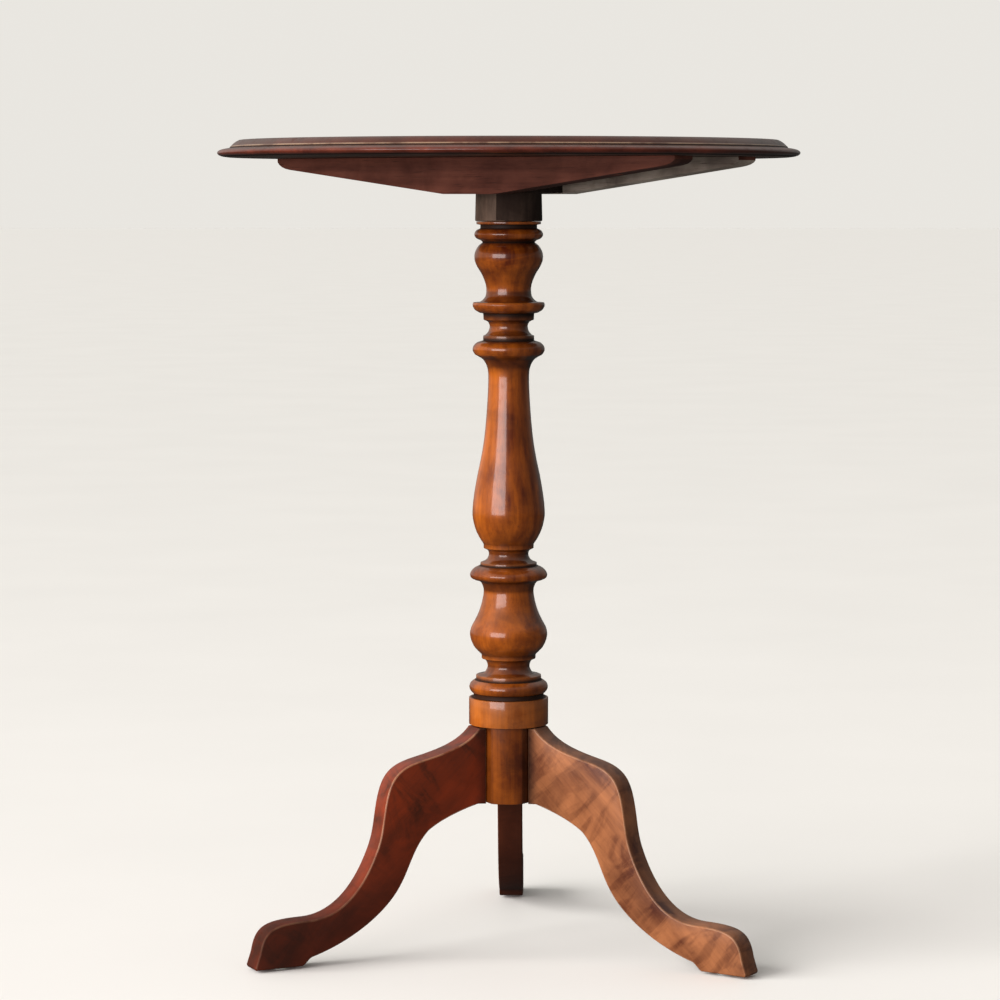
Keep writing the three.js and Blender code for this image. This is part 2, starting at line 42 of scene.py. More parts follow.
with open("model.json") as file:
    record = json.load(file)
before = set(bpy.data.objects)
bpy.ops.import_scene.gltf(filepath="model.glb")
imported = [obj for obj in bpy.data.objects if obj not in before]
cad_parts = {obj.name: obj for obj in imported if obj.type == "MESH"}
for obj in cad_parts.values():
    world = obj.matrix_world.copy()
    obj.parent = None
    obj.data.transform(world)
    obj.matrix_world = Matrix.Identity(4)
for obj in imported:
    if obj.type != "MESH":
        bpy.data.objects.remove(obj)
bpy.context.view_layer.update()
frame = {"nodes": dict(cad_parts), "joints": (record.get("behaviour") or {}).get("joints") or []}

MM = 0.001
JOINTS = {joint["name"]: joint for joint in frame["joints"]}
TILT_AXIS = Vector(JOINTS["top_tilt"]["axis"])
BEARER_TURN = math.atan2(-TILT_AXIS.x, TILT_AXIS.y)
BEARER_WAY = Matrix.Rotation(BEARER_TURN, 3, "Z") @ Vector((1, 0, 0))
DOWN = Vector((0, 0, -1))
TOP_LOW, TOP_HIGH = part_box("table_top")
PILLAR_LOW, PILLAR_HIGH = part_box("pillar")
GLIDE_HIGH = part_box("glide_left")[1].z
LEGS = ("left", "right", "back")

# Edges that turn by more than this many degrees are corners.
CORNER_ANGLE = 38
# Points that lie this close, in metres, are one.
WELD = 2e-6
CLOSE = 1e-6


def middle(node):
    """The centre of a CAD node's box."""
    low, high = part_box(node)
    return (low + high) / 2


def heading(node):
    """The angle, seen from above, at which a CAD node lies from the pillar."""
    place = middle(node)
    return math.atan2(place.y, place.x)


LEG_TURNS = {side: heading("glide_" + side) for side in LEGS}


# ---- sizes and colours that a user may change ----
class TableSizes(bpy.types.PropertyGroup):
    """Sizes of the fine shapes."""

    top_radius: bpy.props.FloatProperty(
        name="Top radius", description="Radius over the moulded edge",
        default=min(TOP_HIGH.x, -TOP_LOW.x, TOP_HIGH.y, -TOP_LOW.y), unit="LENGTH")
    leg_thickness: bpy.props.FloatProperty(
        name="Leg thickness", description="Width of a leg between its flat sides",
        default=22.5 * MM, unit="LENGTH")
    leg_arris: bpy.props.FloatProperty(
        name="Leg arris", description="Width of the softened edges of the legs", default=1.3 * MM,
        unit="LENGTH")
    board_arris: bpy.props.FloatProperty(
        name="Board arris", description="Width of the softened edges of the bearers and the block",
        default=0.7 * MM, unit="LENGTH")
    metal_arris: bpy.props.FloatProperty(
        name="Metal arris", description="Width of the softened edges of the catch", default=0.25 * MM,
        unit="LENGTH")


def colour_property(label, description, default):
    return bpy.props.FloatVectorProperty(
        name=label, description=description, default=default, subtype="COLOR", size=3, min=0, max=1)


class TableColours(bpy.types.PropertyGroup):
    """Colours of the timber and the metal."""

    pillar_pale: colour_property("Pillar, pale", "Pale figure of the pillar", (0.40, 0.098, 0.006))
    pillar_dark: colour_property("Pillar, dark", "Dark figure of the pillar", (0.075, 0.010, 0.0015))
    leg_pale: colour_property("Legs, pale", "Pale figure of the legs", (0.33, 0.122, 0.046))
    leg_dark: colour_property("Legs, dark", "Dark figure of the legs", (0.06, 0.012, 0.004))
    # The left and back legs' pale colours are darker copies of the legs' pale colour: painted shade on legs
    # that face away from the light.
    left_leg_shaded_pale: colour_property("Left leg, pale", "Pale figure of the left leg", (0.24, 0.028, 0.004))
    back_leg_shaded_pale: colour_property(
        "Back leg, pale", "Pale figure of the back leg", (0.085, 0.018, 0.006))
    top_pale: colour_property("Top, pale", "Pale figure of the top", (0.13, 0.026, 0.013))
    top_dark: colour_property("Top, dark", "Dark figure of the top", (0.03, 0.005, 0.003))
    bearer_pale: colour_property("Bearers, pale", "Pale figure of the bearers", (0.185, 0.057, 0.035))
    bearer_dark: colour_property("Bearers, dark", "Dark figure of the bearers", (0.07, 0.017, 0.010))
    block_pale: colour_property("Block, pale", "Pale figure of the block", (0.16, 0.105, 0.075))
    block_dark: colour_property("Block, dark", "Dark figure of the block", (0.03, 0.018, 0.012))
    floor: colour_property("Floor", "Colour of the floor", (0.83, 0.825, 0.81))


class StageSettings(bpy.types.PropertyGroup):
    """Where the camera stands."""

    camera_height: bpy.props.FloatProperty(
        name="Camera height", description="Height of the lens above the floor", default=0.6668,
        unit="LENGTH")
    camera_distance: bpy.props.FloatProperty(
        name="Camera distance", description="Distance from the lens to the pillar", default=3.028,
        unit="LENGTH")
    camera_side: bpy.props.FloatProperty(
        name="Camera side", description="How far the lens stands to the right", default=-0.014,
        unit="LENGTH")
    camera_pitch: bpy.props.FloatProperty(
        name="Camera pitch", description="How far the lens looks down", default=math.radians(5.05),
        subtype="ANGLE", unit="ROTATION")
    camera_yaw: bpy.props.FloatProperty(
        name="Camera yaw", description="How far the lens turns to the right", default=math.radians(0.12),
        subtype="ANGLE", unit="ROTATION")
    camera_lens: bpy.props.FloatProperty(
        name="Lens", description="Focal length in millimetres", default=123.6, min=10)


# ---- outlines ----
NEARLY_STRAIGHT = math.radians(155)
CORNER_SHARE = 0.45


def bezier(start, first, second, end, steps):
    """Points on a cubic curve after its start, up to its end."""
    corners = [Vector(p).to_3d() for p in (start, first, second, end)]
    points = geometry.interpolate_bezier(*corners, steps + 1)
    return [(p.x, p.y) for p in points[1:]]


def flowing(points, steps):
    """A smooth line through [radius, height] points, with its ends kept."""
    line = [Vector(p) for p in points]
    padded = [line[0] * 2 - line[1], *line, line[-1] * 2 - line[-2]]
    path = []
    for before, start, end, after in zip(padded, padded[1:], padded[2:], padded[3:]):
        for i in range(steps):
            t = i / steps
            path.append(0.5 * (2 * start + (end - before) * t
                               + (2 * before - 5 * start + 4 * end - after) * t ** 2
                               + (3 * start - before - 3 * end + after) * t ** 3))
    return [tuple(p) for p in path] + [tuple(line[-1])]


def softened(points, width):
    """The same outline with each sharp corner taken off by a little curve."""
    line = [Vector(p) for p in points]
    path = [line[0]]
    for before, corner, after in zip(line, line[1:], line[2:]):
        back, on = before - corner, after - corner
        turn = back.angle(on, math.pi)
        if turn > NEARLY_STRAIGHT or min(back.length, on.length) < CLOSE:
            path.append(corner)
            continue
        reach = min(width, back.length * CORNER_SHARE, on.length * CORNER_SHARE)
        start, end = corner + back.normalized() * reach, corner + on.normalized() * reach
        path += [start, (start + end + 2 * corner) / 4, end]
    return [tuple(p) for p in path + [line[-1]]]


# ---- bmesh helpers ----
FULL_BEND = math.radians(80)
# How sharply a turned outline bends, from 0 to 1, before it is darkened as dirt and painted shade, is
# rubbed, or shelters a crest.
QUIRK_BEND = 0.45
CREST_BEND = 0.5
SHELTER_BEND = 0.4
BEND_REACH = 1.3
RECESS_REACH = 9.0
# A face that looks down more than this isn't rubbed.
LOOKS_DOWN = -0.25


def turning(points, sign):
    """For each point of a turned outline, how sharply it bends in (-1) or out (1) near it, from 0 to 1."""
    line = [Vector(p) for p in points]
    bends = [0.0]
    for before, corner, after in zip(line, line[1:], line[2:]):
        bend = (corner - before).angle_signed(after - corner, 0.0)
        bends.append(max(0.0, -bend * sign))
    bends.append(0.0)
    sums = []
    for corner in line:
        near = sum(bend for bend, point in zip(bends, line) if (point - corner).length < BEND_REACH)
        sums.append(min(1.0, near / FULL_BEND))
    return sums


def recesses(points):
    """For each point of a turned outline, how deep it lies below what stands near it, from 0 to 1; the
    deeper it lies, the more painted shade it gets.
    """
    deep = []
    for radius, height in points:
        around = max(r for r, z in points if abs(z - height) < RECESS_REACH)
        deep.append(min(1.0, (around - radius) / RECESS_REACH))
    return deep


def turn_bmesh(points, steps):
    """A closed turned solid from [radius, height] points in millimetres, with its corners marked."""
    bm = bmesh.new()
    hollow = bm.verts.layers.float.new("hollow")
    crest = bm.verts.layers.float.new("arris")
    recess = bm.verts.layers.float.new("recess")
    line = []
    marks = zip(points, turning(points, -1), turning(points, 1), recesses(points))
    for (radius, height), inward, outward, deep in marks:
        vert = bm.verts.new((radius * MM, 0, height * MM))
        vert[hollow] = max(0.0, inward - QUIRK_BEND) / (1 - QUIRK_BEND)
        vert[recess] = deep
        vert[crest] = 0.0 if inward > SHELTER_BEND else max(0.0, outward - CREST_BEND)
        line.append(vert)
    edges = [bm.edges.new(pair) for pair in zip(line, line[1:])]
    bmesh.ops.spin(bm, geom=line + edges, cent=(0, 0, 0), axis=(0, 0, 1), dvec=(0, 0, 0),
                   angle=2 * math.pi, steps=steps, use_merge=True, use_duplicate=False)
    bmesh.ops.remove_doubles(bm, verts=bm.verts, dist=1e-7)
    bmesh.ops.recalc_face_normals(bm, faces=bm.faces)
    return bm


def sharp_edges(bm, angle):
    """The edges whose faces turn by more than an angle."""
    return [e for e in bm.edges if e.is_manifold and e.calc_face_angle(0) > angle]


def ease_edges(bm, edges, width, segments):
    """Softens edges, and marks the new faces as the rubbed arris unless they look down."""
    arris = bm.faces.layers.float.get("arris") or bm.faces.layers.float.new("arris")
    made = bmesh.ops.bevel(bm, geom=edges, offset=width, offset_type="OFFSET", affect="EDGES",
                           segments=segments, profile=0.5, material=-1, clamp_overlap=True)
    bm.normal_update()
    for face in made["faces"]:
        face[arris] = 1.0 if face.normal.z > LOOKS_DOWN else 0.0
    return bm


def prism_bmesh(points, way):
    """A closed prism from the points of one end and the way to the other end."""
    bm = bmesh.new()
    face = bm.faces.new([bm.verts.new(point) for point in points])
    out = bmesh.ops.extrude_face_region(bm, geom=[face], use_keep_orig=True)
    moved = [v for v in out["geom"] if isinstance(v, bmesh.types.BMVert)]
    bmesh.ops.translate(bm, verts=moved, vec=way)
    bmesh.ops.recalc_face_normals(bm, faces=bm.faces)
    return bm


def slab_bmesh(outline, thickness):
    """A flat piece from an outline in X and Z, in metres, centred on Y."""
    return prism_bmesh([(x, -thickness / 2, z) for x, z in outline], (0, thickness, 0))


def column_bmesh(outline, low, high):
    """An upright piece from an outline in X and Y, in metres."""
    return prism_bmesh([(x, y, low) for x, y in outline], (0, 0, high - low))


def node_bmesh(node):
    """A merged copy of a CAD node's mesh, with its flat faces made whole."""
    bm = bmesh.new()
    bm.from_mesh(frame["nodes"][node].data)
    bmesh.ops.remove_doubles(bm, verts=bm.verts, dist=WELD)
    bmesh.ops.dissolve_limit(bm, angle_limit=math.radians(0.6), verts=bm.verts, edges=bm.edges)
    return bm


def eased_node(node, width):
    """A CAD node's mesh with its corners softened."""
    bm = node_bmesh(node)
    return ease_edges(bm, sharp_edges(bm, math.radians(CORNER_ANGLE)), width, segments=2)


def add_bmesh(bm, other):
    """Adds another bmesh's pieces to this one."""
    scratch = bpy.data.meshes.new("scratch")
    other.to_mesh(scratch)
    other.free()
    bm.from_mesh(scratch)
    bpy.data.meshes.remove(scratch)
    return bm


def mark_timber(bm, along, offset):
    """Marks where each point lies in its log: across, through and along the grain, from the log's pith."""
    layer = bm.verts.layers.float_vector.new("timber")
    length = Vector(along).normalized()
    spare = Vector((0, 0, 1)) if abs(length.z) < 0.9 else Vector((0, 1, 0))
    across = length.cross(spare).normalized()
    through = length.cross(across)
    shift = Vector(offset)
    for vert in bm.verts:
        vert[layer] = Vector((vert.co.dot(across), vert.co.dot(through), vert.co.dot(length))) + shift
    return bm


def mark_painted_shade(bm, amount):
    """Marks how much painted shade darkens each point, from 0 to 1."""
    layer = bm.verts.layers.float.new("recess")
    for vert in bm.verts:
        vert[layer] = amount(vert.co)
    return bm


def place_piece(name, bm, body, nodes, material, slot, smooth=CORNER_ANGLE):
    """Makes a bmesh a finished piece that rides on a body and stands for CAD nodes."""
    mesh = bpy.data.meshes.new(name)
    bm.to_mesh(mesh)
    bm.free()
    mesh.shade_smooth()
    mesh.set_sharp_from_angle(angle=math.radians(smooth))
    mesh.materials.append(bpy.data.materials[material])
    piece = bpy.data.objects.new(name, mesh)
    bpy.context.scene.collection.objects.link(piece)
    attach(piece, body)
    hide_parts(*nodes)


# ---- shader helpers ----
def feed(tree, socket, value):
    """Links a socket to another one, or gives it a constant."""
    if isinstance(value, bpy.types.NodeSocket):
        tree.links.new(value, socket)
    else:
        socket.default_value = value


def add_node(tree, kind, inputs=None, **settings):
    """A new node with its settings, and with its inputs fed."""
    node = tree.nodes.new(kind)
    for key, value in settings.items():
        setattr(node, key, value)
    for key, value in (inputs or {}).items():
        feed(tree, node.inputs[key], value)
    return node


def maths(tree, operation, first, second=0.0, clamp=False):
    node = add_node(tree, "ShaderNodeMath", {0: first, 1: second}, operation=operation, use_clamp=clamp)
    return node.outputs[0]


def plus(tree, first, second, clamp=False):
    return maths(tree, "ADD", first, second, clamp)


def minus(tree, first, second, clamp=False):
    return maths(tree, "SUBTRACT", first, second, clamp)


def times(tree, first, second):
    return maths(tree, "MULTIPLY", first, second)


def blend_colours(tree, factor, first, second):
    node = add_node(tree, "ShaderNodeMix", data_type="RGBA")
    for name, value in (("Factor_Float", factor), ("A_Color", first), ("B_Color", second)):
        feed(tree, next(s for s in node.inputs if s.identifier == name), value)
    return next(s for s in node.outputs if s.identifier == "Result_Color")


def ranged(tree, value, low, high, to_low=0.0, to_high=1.0):
    """A value's range moved smoothly onto another, and held at its ends."""
    inputs = {"Value": value, "From Min": low, "From Max": high, "To Min": to_low, "To Max": to_high}
    return add_node(tree, "ShaderNodeMapRange", inputs, interpolation_type="SMOOTHSTEP").outputs["Result"]


def stretched(tree, vector, scale):
    return add_node(tree, "ShaderNodeMapping", {"Vector": vector, "Scale": scale}).outputs["Vector"]


def noise(tree, vector, scale, detail, roughness, distortion=0.0):
    inputs = {"Vector": vector, "Scale": scale, "Detail": detail, "Roughness": roughness,
              "Distortion": distortion}
    return add_node(tree, "ShaderNodeTexNoise", inputs).outputs["Fac"]


def new_group(name, inputs, outputs):
    """A shader node group with its sockets, and its input and output nodes."""
    tree = bpy.data.node_groups.new(name, "ShaderNodeTree")
    for label, kind, default in inputs:
        socket = tree.interface.new_socket(label, in_out="INPUT", socket_type=kind)
        if default is not None:
            socket.default_value = default
    for label, kind in outputs:
        tree.interface.new_socket(label, in_out="OUTPUT", socket_type=kind)
    return tree, tree.nodes.new("NodeGroupInput").outputs, tree.nodes.new("NodeGroupOutput")


def timber_grain_group():
    """Growth rings, fine streaks, cloudy figure, ripples across the grain and pores, for grain along Z."""
    tree, given, out = new_group(
        "timber_grain",
        [("Vector", "NodeSocketVector", None), ("Pale", "NodeSocketColor", None),
         ("Dark", "NodeSocketColor", None), ("Rings", "NodeSocketFloat", 60.0),
         ("Ring Depth", "NodeSocketFloat", 0.2), ("Figure", "NodeSocketFloat", 0.5),
         ("Ripple", "NodeSocketFloat", 0.2), ("Streaks", "NodeSocketFloat", 0.26),
         ("Pores", "NodeSocketFloat", 0.3)],
        [("Color", "NodeSocketColor"), ("Height", "NodeSocketFloat")])
    vector = given["Vector"]
    drift = noise(tree, stretched(tree, vector, (1, 1, 0.22)), 14, 3, 0.5)
    flat = add_node(tree, "ShaderNodeVectorMath", {0: vector, 1: (1, 1, 0)}, operation="MULTIPLY")
    pith = add_node(tree, "ShaderNodeVectorMath", {0: flat.outputs[0]}, operation="LENGTH").outputs["Value"]
    phase = times(tree, plus(tree, pith, times(tree, drift, 0.05)), given["Rings"])
    rings = ranged(tree, maths(tree, "SINE", times(tree, phase, 2 * math.pi)), -0.8, 1)
    streaks = ranged(tree, noise(tree, stretched(tree, vector, (1, 1, 0.03)), 260, 4, 0.65), 0.3, 0.7)
    clouds = ranged(tree, noise(tree, stretched(tree, vector, (1, 1, 0.4)), 26, 5, 0.6, 0.8), 0.3, 0.72)
    ripple = noise(tree, stretched(tree, vector, (0.45, 0.45, 1.3)), 26, 6, 0.62, 1.6)
    ripple = times(tree, ranged(tree, ripple, 0.46, 0.6), ranged(tree, drift, 0.36, 0.58))
    pores = ranged(tree, noise(tree, stretched(tree, vector, (1, 1, 0.04)), 1100, 2, 0.5), 0.62, 0.74)
    shade = plus(tree, times(tree, rings, given["Ring Depth"]), times(tree, streaks, given["Streaks"]))
    shade = plus(tree, shade, times(tree, clouds, given["Figure"]))
    shade = plus(tree, shade, times(tree, ripple, given["Ripple"]), clamp=True)
    colour = blend_colours(tree, shade, given["Pale"], given["Dark"])
    flecks = times(tree, pores, given["Pores"])
    colour = blend_colours(tree, flecks, colour, (0.02, 0.007, 0.004, 1))
    height = minus(tree, times(tree, streaks, -0.25), flecks)
    tree.links.new(colour, out.inputs["Color"])
    tree.links.new(height, out.inputs["Height"])


def aged_polish_group():
    """Polish darkened in the hollows by dirt and painted shade, darkened by painted shade in recesses and in
    random patches, rubbed through on the edges, where the pale rub is wear and, on the top's fillet, a
    painted highlight, and scuffed in between.
    """
    tree, given, out = new_group(
        "aged_polish",
        [("Color", "NodeSocketColor", None), ("Vector", "NodeSocketVector", None),
         ("Hollow", "NodeSocketFloat", 0.0), ("Arris", "NodeSocketFloat", 0.0),
         ("Recess", "NodeSocketFloat", 0.0), ("Recess Depth", "NodeSocketFloat", 0.6),
         ("Grime And Shade", "NodeSocketFloat", 0.8), ("Wear And Highlight", "NodeSocketFloat", 0.5),
         ("Smooth", "NodeSocketFloat", 0.25), ("Wear And Highlight Color", "NodeSocketColor", (0.5, 0.25, 0.12, 1)),
         ("Coat", "NodeSocketFloat", 0.5)],
        [("Color", "NodeSocketColor"), ("Roughness", "NodeSocketFloat"), ("Height", "NodeSocketFloat"),
         ("Coat", "NodeSocketFloat")])
    vector = given["Vector"]
    patches = noise(tree, vector, 22, 4, 0.6, 0.4)
    scuffs = ranged(tree, noise(tree, vector, 120, 5, 0.65), 0.52, 0.72)
    # The hollow mark darkens, roughens and dulls the polish: dirt in turned hollows, and painted shade under
    # the bearers, on the block's shaded face, in the top's quirk and lip and by the legs' joints.
    grime_and_shade = times(tree, ranged(tree, given["Hollow"], 0.0, 0.8), given["Grime And Shade"])
    grime_and_shade = times(tree, grime_and_shade, ranged(tree, patches, 0.2, 0.5, 0.7, 1))
    # The pale rub on the arris is wear, and on the top's fillet a painted highlight.
    rub = times(tree, given["Arris"], given["Wear And Highlight"])
    rub = times(tree, rub, ranged(tree, noise(tree, vector, 60, 4, 0.6), 0.35, 0.6, 0.25, 1))
    # The recess mark is painted shade; with the random patches it darkens the colour towards deep brown.
    shadow = times(tree, ranged(tree, given["Recess"], 0.05, 0.9), given["Recess Depth"])
    dull = plus(tree, shadow, ranged(tree, patches, 0.42, 0.68, 0, 0.35), clamp=True)
    mottled = blend_colours(tree, dull, given["Color"], (0.035, 0.007, 0.002, 1))
    worn_and_highlit = blend_colours(tree, rub, mottled, given["Wear And Highlight Color"])
    colour = blend_colours(tree, grime_and_shade, worn_and_highlit, (0.012, 0.005, 0.003, 1))
    rough = plus(tree, given["Smooth"], times(tree, scuffs, 0.14))
    rough = plus(tree, rough, times(tree, grime_and_shade, 0.25))
    rough = plus(tree, rough, times(tree, patches, 0.10), clamp=True)
    tree.links.new(colour, out.inputs["Color"])
    tree.links.new(rough, out.inputs["Roughness"])
    tree.links.new(times(tree, scuffs, -1), out.inputs["Height"])
    kept = minus(tree, 1.0, times(tree, grime_and_shade, 1.4), clamp=True)
    kept = minus(tree, kept, times(tree, scuffs, 0.35), clamp=True)
    tree.links.new(times(tree, kept, given["Coat"]), out.inputs["Coat"])


def aged_metal_group():
    """Tarnish in patches and fine scratches on old metal."""
    tree, given, out = new_group(
        "aged_metal",
        [("Vector", "NodeSocketVector", None), ("Clean", "NodeSocketColor", None),
         ("Tarnish", "NodeSocketColor", None), ("Arris", "NodeSocketFloat", 0.0)],
        [("Color", "NodeSocketColor"), ("Roughness", "NodeSocketFloat"), ("Height", "NodeSocketFloat")])
    vector = given["Vector"]
    patches = ranged(tree, noise(tree, vector, 90, 5, 0.6, 0.5), 0.35, 0.65)
    scratches = noise(tree, stretched(tree, vector, (1, 0.05, 1)), 1800, 2, 0.5)
    left = times(tree, patches, minus(tree, 1.0, given["Arris"]))
    tree.links.new(blend_colours(tree, left, given["Clean"], given["Tarnish"]), out.inputs["Color"])
    rough = plus(tree, times(tree, left, 0.25), times(tree, scratches, 0.3))
    tree.links.new(plus(tree, rough, 0.12), out.inputs["Roughness"])
    tree.links.new(scratches, out.inputs["Height"])


def attribute(tree, name, output):
    return add_node(tree, "ShaderNodeAttribute", attribute_name=name).outputs[output]


def opaque(colour):
    return (*colour, 1.0)


def new_material(name):
    """The node tree of a new material, and its one Principled BSDF."""
    material = bpy.data.materials.new(name)
    material.use_nodes = True
    tree = material.node_tree
    return tree, tree.nodes["Principled BSDF"]


def group_node(tree, name, inputs):
    return add_node(tree, "ShaderNodeGroup", inputs, node_tree=bpy.data.node_groups[name])


def add_bump(tree, shader, height, distance, strength):
    bump = add_node(tree, "ShaderNodeBump", {"Height": height, "Distance": distance, "Strength": strength})
    tree.links.new(bump.outputs["Normal"], shader.inputs["Normal"])


# Where the painted shade by the hub and the darkening towards the foot are full and where they end: in
# metres out from the hub's axis, and up.
JOINT_FULL, JOINT_UNSHADED = 0.028, 0.046
FOOT_FULL, FOOT_PLAIN = 0.03, 0.15
# How strong the painted shade by the hub is.
JOINT_SHADE = 0.55
# How dark the dark figure of bare timber is beside its pale figure.
BARE_SHADE = 0.45


def leg_darkening(tree, hollow, foot):
    """A leg's hollow mark, with painted shade added by its joint with the hub and darkening added towards
    its foot.
    """
    place = add_node(tree, "ShaderNodeTexCoord").outputs["Object"]
    flat = add_node(tree, "ShaderNodeVectorMath", {0: place, 1: (1, 1, 0)}, operation="MULTIPLY")
    out = add_node(tree, "ShaderNodeVectorMath", {0: flat.outputs[0]}, operation="LENGTH").outputs["Value"]
    up = add_node(tree, "ShaderNodeSeparateXYZ", {"Vector": place}).outputs["Z"]
    hollow = plus(tree, hollow, ranged(tree, out, JOINT_UNSHADED, JOINT_FULL, 0.0, JOINT_SHADE))
    return plus(tree, hollow, ranged(tree, up, FOOT_PLAIN, FOOT_FULL, 0.0, foot))


def timber_material(name, pale, dark, grain, polish, coat, coat_roughness=0.14, foot=None, bare_and_lit=None):
    """Timber with its grain along the board and an aged finish over it, except where it is left unfinished
    and painted pale for the light it reflects.
    """
    tree, shader = new_material(name)
    vector = attribute(tree, "timber", "Vector")
    pale, dark = opaque(pale), opaque(dark)
    # Unfinished faces take a pale colour that stands for the light they reflect.
    if bare_and_lit:
        unpolished_and_lit = attribute(tree, "bare_and_lit", "Fac")
        pale = blend_colours(tree, unpolished_and_lit, pale, opaque(bare_and_lit))
        dark = blend_colours(tree, unpolished_and_lit, dark, opaque(tuple(c * BARE_SHADE for c in bare_and_lit)))
    figure = group_node(tree, "timber_grain", {"Vector": vector, "Pale": pale, "Dark": dark, **grain})
    hollow = attribute(tree, "hollow", "Fac")
    if foot:
        hollow = leg_darkening(tree, hollow, foot)
    finish = group_node(tree, "aged_polish", {
        "Color": figure.outputs["Color"], "Vector": vector, "Hollow": hollow,
        "Arris": attribute(tree, "arris", "Fac"), "Recess": attribute(tree, "recess", "Fac"),
        "Coat": coat, **polish})
    tree.links.new(finish.outputs["Color"], shader.inputs["Base Color"])
    tree.links.new(finish.outputs["Roughness"], shader.inputs["Roughness"])
    shader.inputs["Specular IOR Level"].default_value = 0.22
    gloss = finish.outputs["Coat"]
    if bare_and_lit:
        gloss = times(tree, gloss, minus(tree, 1.0, unpolished_and_lit))
    tree.links.new(gloss, shader.inputs["Coat Weight"])
    shader.inputs["Coat Roughness"].default_value = coat_roughness
    height = plus(tree, figure.outputs["Height"], times(tree, finish.outputs["Height"], 0.6))
    add_bump(tree, shader, height, distance=0.12 * MM, strength=0.5)


def metal_material(name, clean, tarnish):
    """Old metal, bright where it is rubbed and tarnished elsewhere."""
    tree, shader = new_material(name)
    vector = add_node(tree, "ShaderNodeTexCoord").outputs["Object"]
    aged = group_node(tree, "aged_metal", {
        "Vector": vector, "Clean": opaque(clean), "Tarnish": opaque(tarnish),
        "Arris": attribute(tree, "arris", "Fac")})
    tree.links.new(aged.outputs["Color"], shader.inputs["Base Color"])
    tree.links.new(aged.outputs["Roughness"], shader.inputs["Roughness"])
    shader.inputs["Metallic"].default_value = 1.0
    add_bump(tree, shader, aged.outputs["Height"], distance=0.03 * MM, strength=0.5)


def make_materials(colours):
    """Builds the shared node groups once, and every finish from them."""
    timber_grain_group()
    aged_polish_group()
    aged_metal_group()
    timber_material("pillar_timber", colours.pillar_pale, colours.pillar_dark, coat=0.75, coat_roughness=0.1,
                    grain={"Rings": 70, "Ring Depth": 0.22, "Figure": 0.5, "Ripple": 0.25, "Pores": 0.35},
                    polish={"Grime And Shade": 0.95, "Wear And Highlight": 0.3, "Smooth": 0.3, "Wear And Highlight Color": (0.6, 0.22, 0.06, 1)})
    # The left and back legs take the darker pale colours as painted shade; foot sets how much each leg
    # darkens towards its foot.
    legs = (("right", colours.leg_pale, 0.35, 0.14), ("left", colours.left_leg_shaded_pale, 0.35, 0.55),
            ("back", colours.back_leg_shaded_pale, 0.15, 0.3))
    for side, pale, coat, foot in legs:
        timber_material(side + "_leg_timber", pale, colours.leg_dark, coat=coat, coat_roughness=0.2,
                        foot=foot,
                        grain={"Rings": 40, "Ring Depth": 0.1, "Figure": 0.52, "Ripple": 0.36,
                               "Streaks": 0.14, "Pores": 0.25},
                        polish={"Grime And Shade": 0.85, "Wear And Highlight": 0.4, "Smooth": 0.42,
                                "Wear And Highlight Color": (0.42, 0.23, 0.13, 1)})
    # The top's rub colour paints the highlight on its fillet, and its unfinished underside is painted pale
    # for the light it reflects.
    timber_material("top_timber", colours.top_pale, colours.top_dark, coat=0.6, coat_roughness=0.16,
                    grain={"Rings": 50, "Ring Depth": 0.25, "Figure": 0.4, "Ripple": 0.1, "Pores": 0.4},
                    polish={"Grime And Shade": 0.9, "Wear And Highlight": 0.8, "Smooth": 0.33, "Wear And Highlight Color": (0.27, 0.175, 0.11, 1)},
                    bare_and_lit=(0.24, 0.165, 0.115))
    # The bearers' unfinished faces are painted pale grey for the floor light they reflect.
    timber_material("bearer_timber", colours.bearer_pale, colours.bearer_dark, coat=0.0,
                    grain={"Rings": 70, "Ring Depth": 0.2, "Figure": 0.6, "Ripple": 0.3, "Pores": 0.6},
                    polish={"Grime And Shade": 0.9, "Wear And Highlight": 0.45, "Smooth": 0.55, "Wear And Highlight Color": (0.24, 0.11, 0.07, 1)},
                    bare_and_lit=(0.44, 0.37, 0.31))
    timber_material("block_timber", colours.block_pale, colours.block_dark, coat=0.0,
                    grain={"Rings": 90, "Ring Depth": 0.3, "Figure": 0.5, "Ripple": 0.2, "Pores": 0.7},
                    polish={"Grime And Shade": 0.9, "Wear And Highlight": 0.8, "Smooth": 0.55, "Wear And Highlight Color": (0.34, 0.27, 0.22, 1)})
    metal_material("aged_brass", (0.62, 0.42, 0.15), (0.16, 0.10, 0.04))
    metal_material("aged_iron", (0.34, 0.32, 0.30), (0.07, 0.045, 0.03))
    felt_material()


def felt_material():
    """The grey, slightly translucent pads under the feet."""
    tree, shader = new_material("glide_pad")
    vector = add_node(tree, "ShaderNodeTexCoord").outputs["Object"]
    cloudy = noise(tree, vector, 400, 4, 0.6)
    colour = blend_colours(tree, cloudy, (0.30, 0.29, 0.27, 1), (0.55, 0.54, 0.52, 1))
    tree.links.new(colour, shader.inputs["Base Color"])
    tree.links.new(ranged(tree, cloudy, 0.3, 0.7, 0.3, 0.55), shader.inputs["Roughness"])
    shader.inputs["Subsurface Weight"].default_value = 0.2
    add_bump(tree, shader, cloudy, distance=0.1 * MM, strength=0.4)


